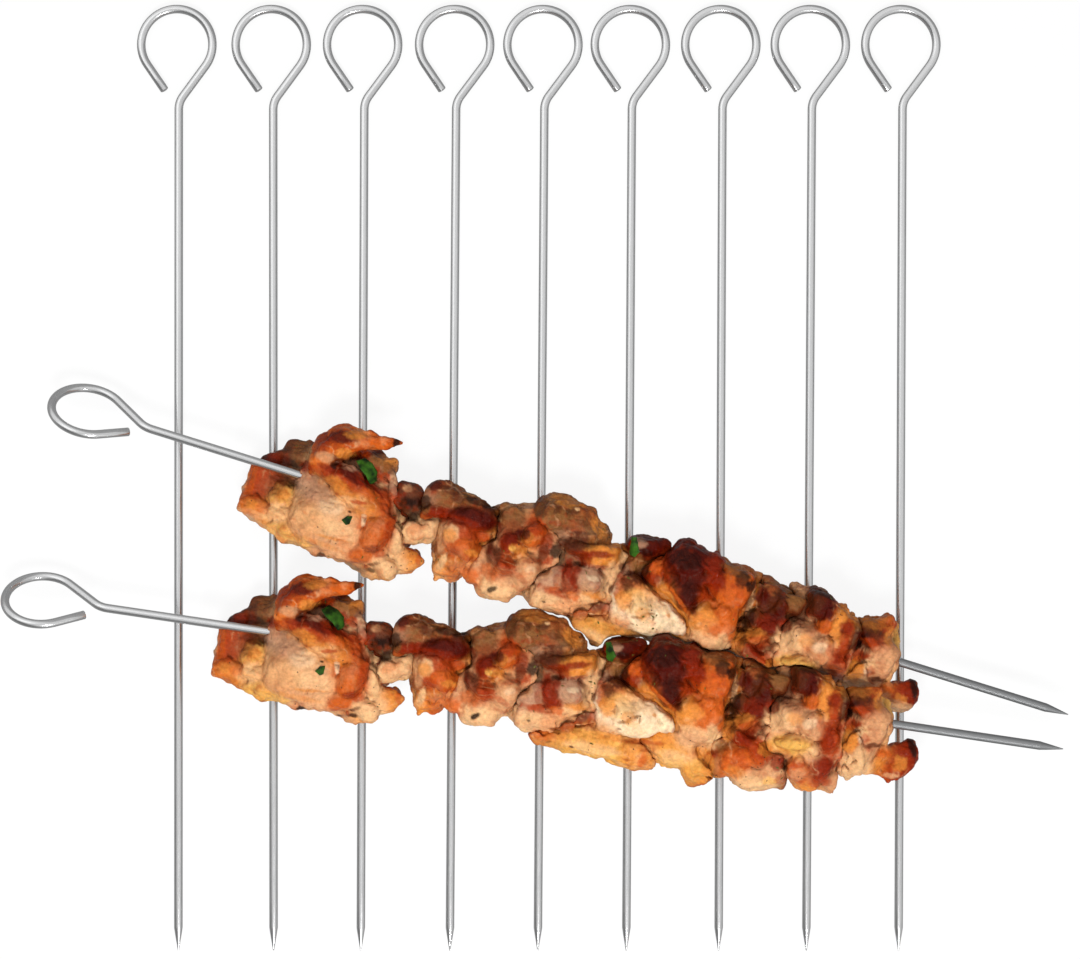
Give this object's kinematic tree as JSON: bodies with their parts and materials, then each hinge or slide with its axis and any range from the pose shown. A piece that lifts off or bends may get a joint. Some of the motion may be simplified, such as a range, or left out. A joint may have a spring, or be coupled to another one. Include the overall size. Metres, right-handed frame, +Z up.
{
  "type": "kebab skewer set",
  "caption": "Ring-handled steel wire skewers laid side by side, with longer ones across them, threaded with grilled chicken that slides off the points.",
  "frame": {"origin": "centre of the whole set in plan, at the surface that the bare skewers lie on", "axes": "+X across the row of bare skewers, +Y from their points to their rings, +Z up"},
  "size_m": [0.37, 0.335, 0.0444],
  "materials": {
    "steel_wire": "drawn stainless wire, lightly brushed",
    "grilled_chicken": null,
    "green_pepper": null
  },
  "bodies": {
    "laid_skewer_1": {"laid_skewer_1": "steel_wire"},
    "laid_skewer_2": {"laid_skewer_2": "steel_wire"},
    "laid_skewer_3": {"laid_skewer_3": "steel_wire"},
    "laid_skewer_4": {"laid_skewer_4": "steel_wire"},
    "laid_skewer_5": {"laid_skewer_5": "steel_wire"},
    "laid_skewer_6": {"laid_skewer_6": "steel_wire"},
    "laid_skewer_7": {"laid_skewer_7": "steel_wire"},
    "laid_skewer_8": {"laid_skewer_8": "steel_wire"},
    "laid_skewer_9": {"laid_skewer_9": "steel_wire"},
    "upper_stack": {"upper_chicken_1": "grilled_chicken", "upper_chicken_2": "grilled_chicken", "upper_chicken_3": "grilled_chicken", "upper_chicken_4": "grilled_chicken", "upper_chicken_5": "grilled_chicken", "upper_chicken_6": "grilled_chicken", "upper_chicken_7": "grilled_chicken", "upper_chicken_8": "grilled_chicken", "upper_chicken_9": "grilled_chicken", "upper_pepper_bits": "green_pepper"},
    "upper_end_piece": {"upper_chicken_10": "grilled_chicken"},
    "upper_skewer": {"upper_skewer": "steel_wire"},
    "lower_stack": {"lower_chicken_1": "grilled_chicken", "lower_chicken_2": "grilled_chicken", "lower_chicken_3": "grilled_chicken", "lower_chicken_4": "grilled_chicken", "lower_chicken_5": "grilled_chicken", "lower_chicken_6": "grilled_chicken", "lower_chicken_7": "grilled_chicken", "lower_chicken_8": "grilled_chicken", "lower_chicken_9": "grilled_chicken", "lower_pepper_bits": "green_pepper"},
    "lower_end_piece": {"lower_chicken_10": "grilled_chicken"},
    "lower_skewer": {"lower_skewer": "steel_wire"}
  },
  "joints": [
    {"name": "laid_skewer_1_draw_out", "type": "slide", "parent": "laid_skewer_5", "child": "laid_skewer_1", "axis": [0.001, 1, 0], "range_m": [0, 0.2]},
    {"name": "laid_skewer_2_draw_out", "type": "slide", "parent": "laid_skewer_5", "child": "laid_skewer_2", "axis": [0, 1, 0], "range_m": [0, 0.2]},
    {"name": "laid_skewer_3_draw_out", "type": "slide", "parent": "laid_skewer_5", "child": "laid_skewer_3", "axis": [0.0045, 1, 0], "range_m": [0, 0.2]},
    {"name": "laid_skewer_4_draw_out", "type": "slide", "parent": "laid_skewer_5", "child": "laid_skewer_4", "axis": [0.0077, 1, 0], "range_m": [0, 0.2]},
    {"name": "laid_skewer_6_draw_out", "type": "slide", "parent": "laid_skewer_5", "child": "laid_skewer_6", "axis": [0.0066, 1, 0], "range_m": [0, 0.2]},
    {"name": "laid_skewer_7_draw_out", "type": "slide", "parent": "laid_skewer_5", "child": "laid_skewer_7", "axis": [0.0044, 1, 0], "range_m": [0, 0.2]},
    {"name": "laid_skewer_8_draw_out", "type": "slide", "parent": "laid_skewer_5", "child": "laid_skewer_8", "axis": [0.0063, 1, 0], "range_m": [0, 0.2]},
    {"name": "laid_skewer_9_draw_out", "type": "slide", "parent": "laid_skewer_5", "child": "laid_skewer_9", "axis": [0.0042, 1, 0], "range_m": [0, 0.2]},
    {"name": "upper_kebab_lift", "type": "slide", "parent": "laid_skewer_5", "child": "upper_stack", "axis": [0.2079, 0.6758, 0.7071], "range_m": [0, 0.12]},
    {"name": "upper_skewer_draw", "type": "slide", "parent": "upper_stack", "child": "upper_skewer", "axis": [-0.9558, 0.294, 0], "range_m": [0, 0.3]},
    {"name": "upper_end_piece_slide", "type": "slide", "parent": "upper_stack", "child": "upper_end_piece", "axis": [0.9558, -0.294, 0], "range_m": [0, 0.08]},
    {"name": "lower_kebab_lift", "type": "slide", "parent": "laid_skewer_5", "child": "lower_stack", "axis": [0, 0, 1], "range_m": [0, 0.12]},
    {"name": "lower_skewer_draw", "type": "slide", "parent": "lower_stack", "child": "lower_skewer", "axis": [-0.9897, 0.1409, -0.0244], "range_m": [0, 0.3]},
    {"name": "lower_end_piece_slide", "type": "slide", "parent": "lower_stack", "child": "lower_end_piece", "axis": [0.9897, -0.1409, 0.0244], "range_m": [0, 0.08]}
  ]
}
